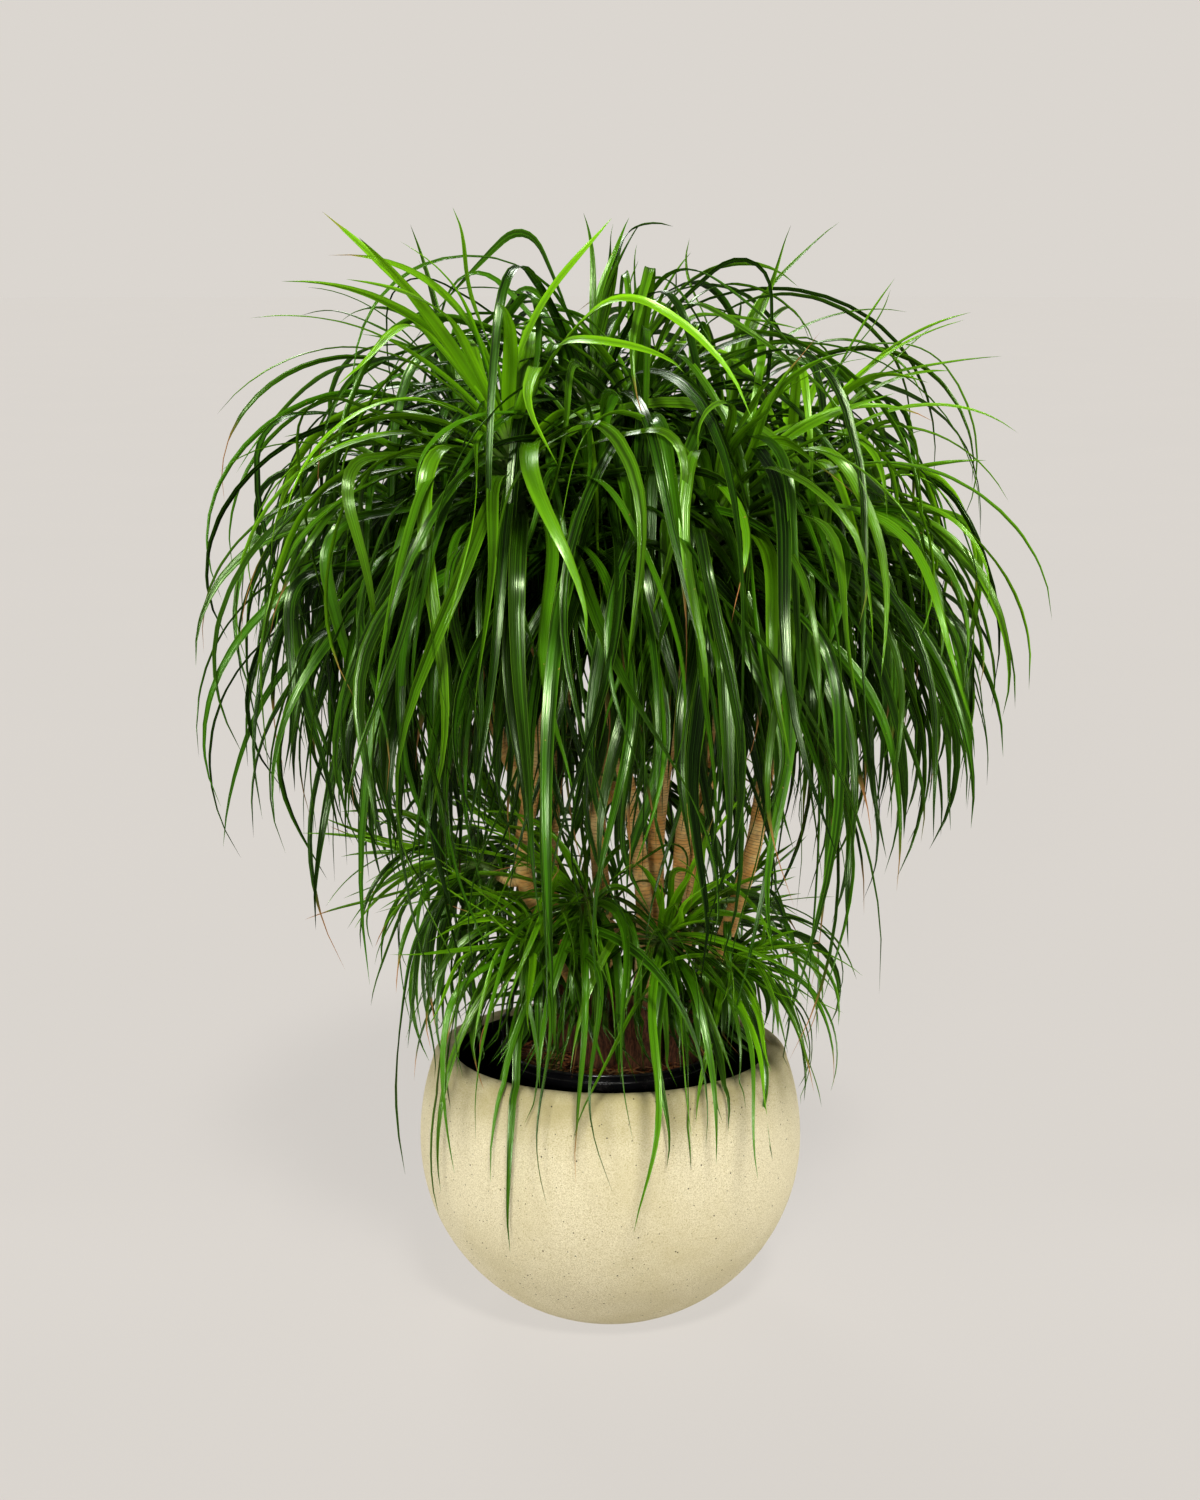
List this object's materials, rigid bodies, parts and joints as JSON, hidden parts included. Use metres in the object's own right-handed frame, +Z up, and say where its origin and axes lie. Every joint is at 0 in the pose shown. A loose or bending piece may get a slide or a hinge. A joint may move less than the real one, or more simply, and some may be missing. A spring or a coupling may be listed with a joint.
{
  "type": "potted dragon tree",
  "caption": "Potted house plant with bare ringed canes, crowns of long arching strap leaves and low leafy shoots, standing in a grow pot inside a round stone planter.",
  "frame": {"origin": "middle of the planter's flat foot, on the surface that it stands on", "axes": "+Z up along the planter's axis, -Y towards the front of the plant, +X to the right seen from the front"},
  "size_m": [1.0687, 1.0381, 1.4381],
  "materials": {
    "stone": "matt, fine sandy grain with dark specks",
    "plastic": "black, slightly glossy",
    "soil": "loose, fibrous, matt",
    "bark": "dry, ringed with leaf scars",
    "leaf": "smooth, glossy, veined along its length"
  },
  "bodies": {
    "root": {"planter": "stone", "grow_pot": "plastic", "potting_soil": "soil", "stem_1": "bark", "stem_2": "bark", "stem_3": "bark", "stem_4": "bark", "stem_5": "bark", "stem_6": "bark", "stem_7": "bark", "crown_1": "leaf", "crown_2": "leaf", "crown_3": "leaf", "crown_4": "leaf", "crown_5": "leaf", "crown_6": "leaf", "crown_7": "leaf", "crown_8": "leaf", "crown_9": "leaf", "crown_10": "leaf", "side_shoot_1": "leaf", "side_shoot_2": "leaf", "side_shoot_3": "leaf", "side_shoot_4": "leaf", "side_shoot_5": "leaf", "side_shoot_6": "leaf", "side_shoot_7": "leaf", "side_shoot_8": "leaf"}
  },
  "joints": []
}
